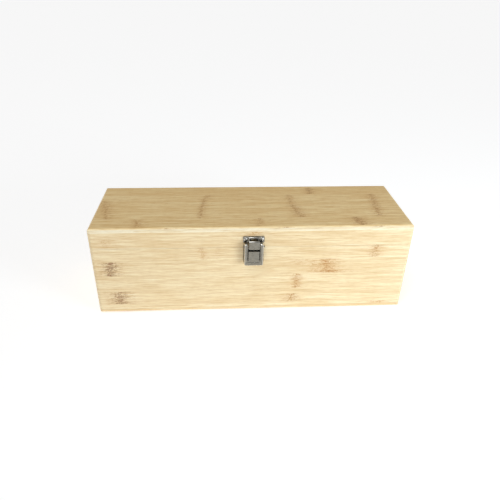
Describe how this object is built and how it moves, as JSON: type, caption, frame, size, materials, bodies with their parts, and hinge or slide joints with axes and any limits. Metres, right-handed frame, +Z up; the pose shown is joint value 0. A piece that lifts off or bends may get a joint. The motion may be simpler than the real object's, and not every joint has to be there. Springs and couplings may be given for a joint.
{
  "type": "brush box with hinged lid",
  "caption": "Long bamboo box with rounded edges, a lid hinged at the back and a metal draw latch at the front, for storing brushes.",
  "frame": {"origin": "middle of the flat underside, on the surface that the box stands on", "axes": "+X to the right along the front, +Y to the back where the hinges are, +Z up"},
  "size_m": [0.35, 0.1233, 0.108],
  "materials": {
    "bamboo": "laminated bamboo, satin clear lacquer",
    "end_bamboo": "laminated bamboo, satin clear lacquer",
    "latch_metal": "nickel-plated pressed steel, warm grey",
    "hinge_metal": "nickel-plated pressed steel",
    "pin_steel": "dark drawn steel wire",
    "screw_steel": "nickel-plated pan heads"
  },
  "bodies": {
    "box": {"front_panel": "bamboo", "back_panel": "bamboo", "left_end_panel": "end_bamboo", "right_end_panel": "end_bamboo", "bottom_panel": "bamboo", "left_hinge_body_leaf": "hinge_metal", "left_hinge_pin": "pin_steel", "right_hinge_body_leaf": "hinge_metal", "right_hinge_pin": "pin_steel", "hinge_body_screws": "screw_steel", "latch_base": "latch_metal", "latch_base_screws": "screw_steel", "lever_pin": "pin_steel"},
    "lid": {"lid_top_panel": "bamboo", "lid_front_rail": "bamboo", "lid_back_rail": "bamboo", "lid_left_rail": "end_bamboo", "lid_right_rail": "end_bamboo", "left_hinge_lid_leaf": "hinge_metal", "right_hinge_lid_leaf": "hinge_metal", "hinge_lid_screws": "screw_steel", "keeper_plate": "latch_metal", "keeper_screws": "screw_steel"},
    "lever": {"latch_lever": "latch_metal", "hook_pin": "pin_steel"},
    "hook": {"latch_hook": "latch_metal"}
  },
  "joints": [
    {"name": "lid_hinge", "type": "hinge", "parent": "box", "child": "lid", "pos_m": [0, 0.0582, 0.08408], "axis": [-1, 0, 0], "range_deg": [0, 175]},
    {"name": "lever_pivot", "type": "hinge", "parent": "box", "child": "lever", "pos_m": [0, -0.0604, 0.0876], "axis": [-1, 0, 0], "range_deg": [0, 100]},
    {"name": "hook_pivot", "type": "hinge", "parent": "lever", "child": "hook", "pos_m": [0, -0.0607, 0.0854], "axis": [1, 0, 0], "range_deg": [0, 100]}
  ],
  "couplings": [
    {"joint": "hook_pivot", "follows": "lever_pivot", "ratio": 1}
  ]
}
